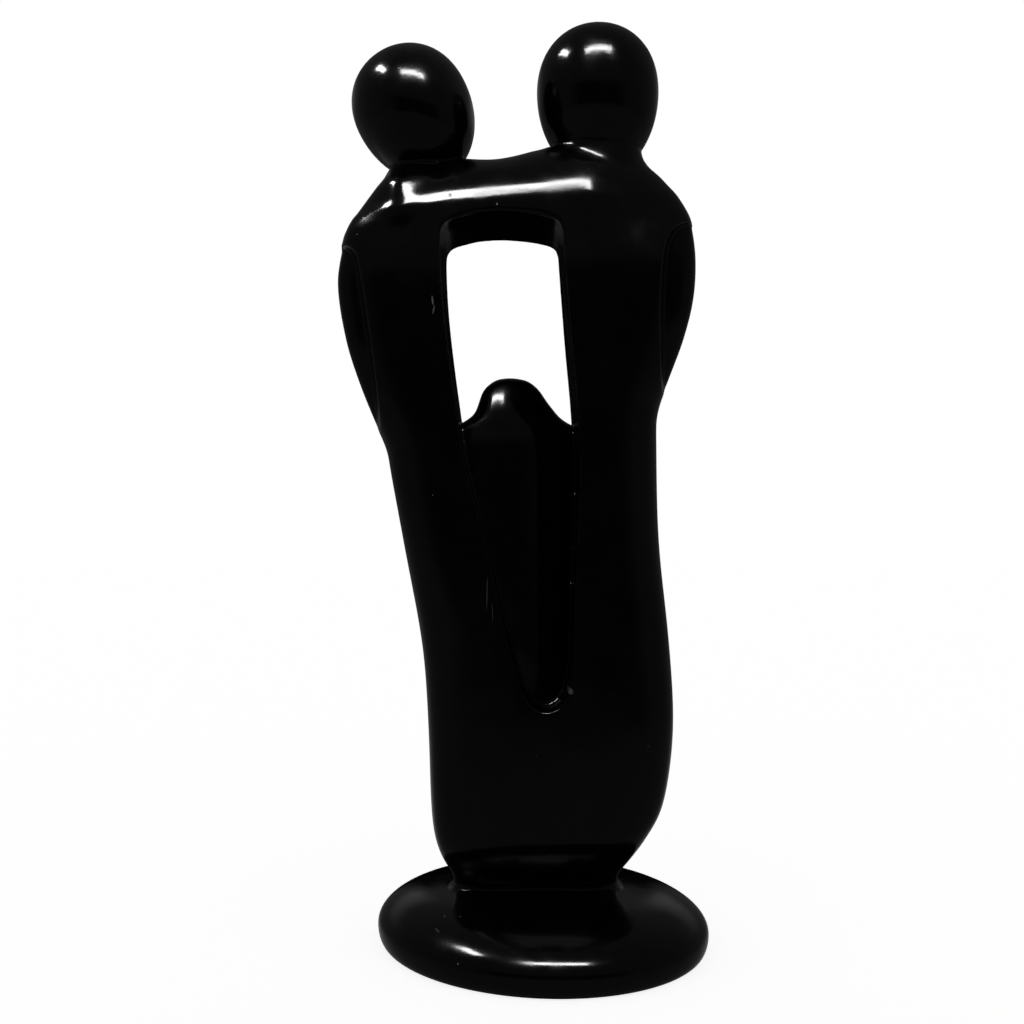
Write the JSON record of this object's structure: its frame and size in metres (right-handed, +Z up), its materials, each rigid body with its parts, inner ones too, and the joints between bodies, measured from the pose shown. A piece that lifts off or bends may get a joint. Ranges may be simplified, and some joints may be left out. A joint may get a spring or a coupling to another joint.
{
  "type": "soapstone family sculpture",
  "caption": "Stylised family carved from black-dyed soapstone: two parents joined at the shoulders by one arm, a child held in the opening between them, on a round foot.",
  "frame": {"origin": "centre of the round foot's underside, on the surface the carving stands on", "axes": "+Z up, -Y towards the front, +X to the viewer's right, towards the taller parent"},
  "size_m": [0.1014, 0.0906, 0.2539],
  "materials": {
    "black_soapstone": "gloss"
  },
  "bodies": {
    "root": {"family_carving": "black_soapstone"}
  },
  "joints": []
}
